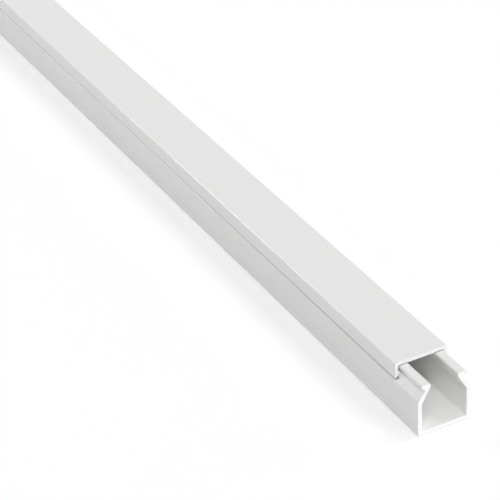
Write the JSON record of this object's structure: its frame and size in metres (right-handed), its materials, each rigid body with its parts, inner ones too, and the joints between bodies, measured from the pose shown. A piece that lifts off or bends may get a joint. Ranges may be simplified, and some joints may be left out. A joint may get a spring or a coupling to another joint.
{
  "type": "cable trunking",
  "caption": "White PVC mini cable trunking: an extruded channel with leaning shoulders and outward lips, closed by a clip-on lid that slides along it.",
  "frame": {"origin": "middle of the flat back of the base, which goes against the wall", "axes": "+X along the trunking to the end from which the lid is slid back, +Z out of the back towards the lid"},
  "size_m": [1.011, 0.016, 0.0165],
  "materials": {
    "white_pvc": "satin, as extruded"
  },
  "bodies": {
    "base": {"base": "white_pvc"},
    "lid": {"lid": "white_pvc"}
  },
  "joints": [
    {"name": "lid_slide", "type": "slide", "parent": "base", "child": "lid", "axis": [1, 0, 0], "range_m": [-1, 0.011]}
  ]
}
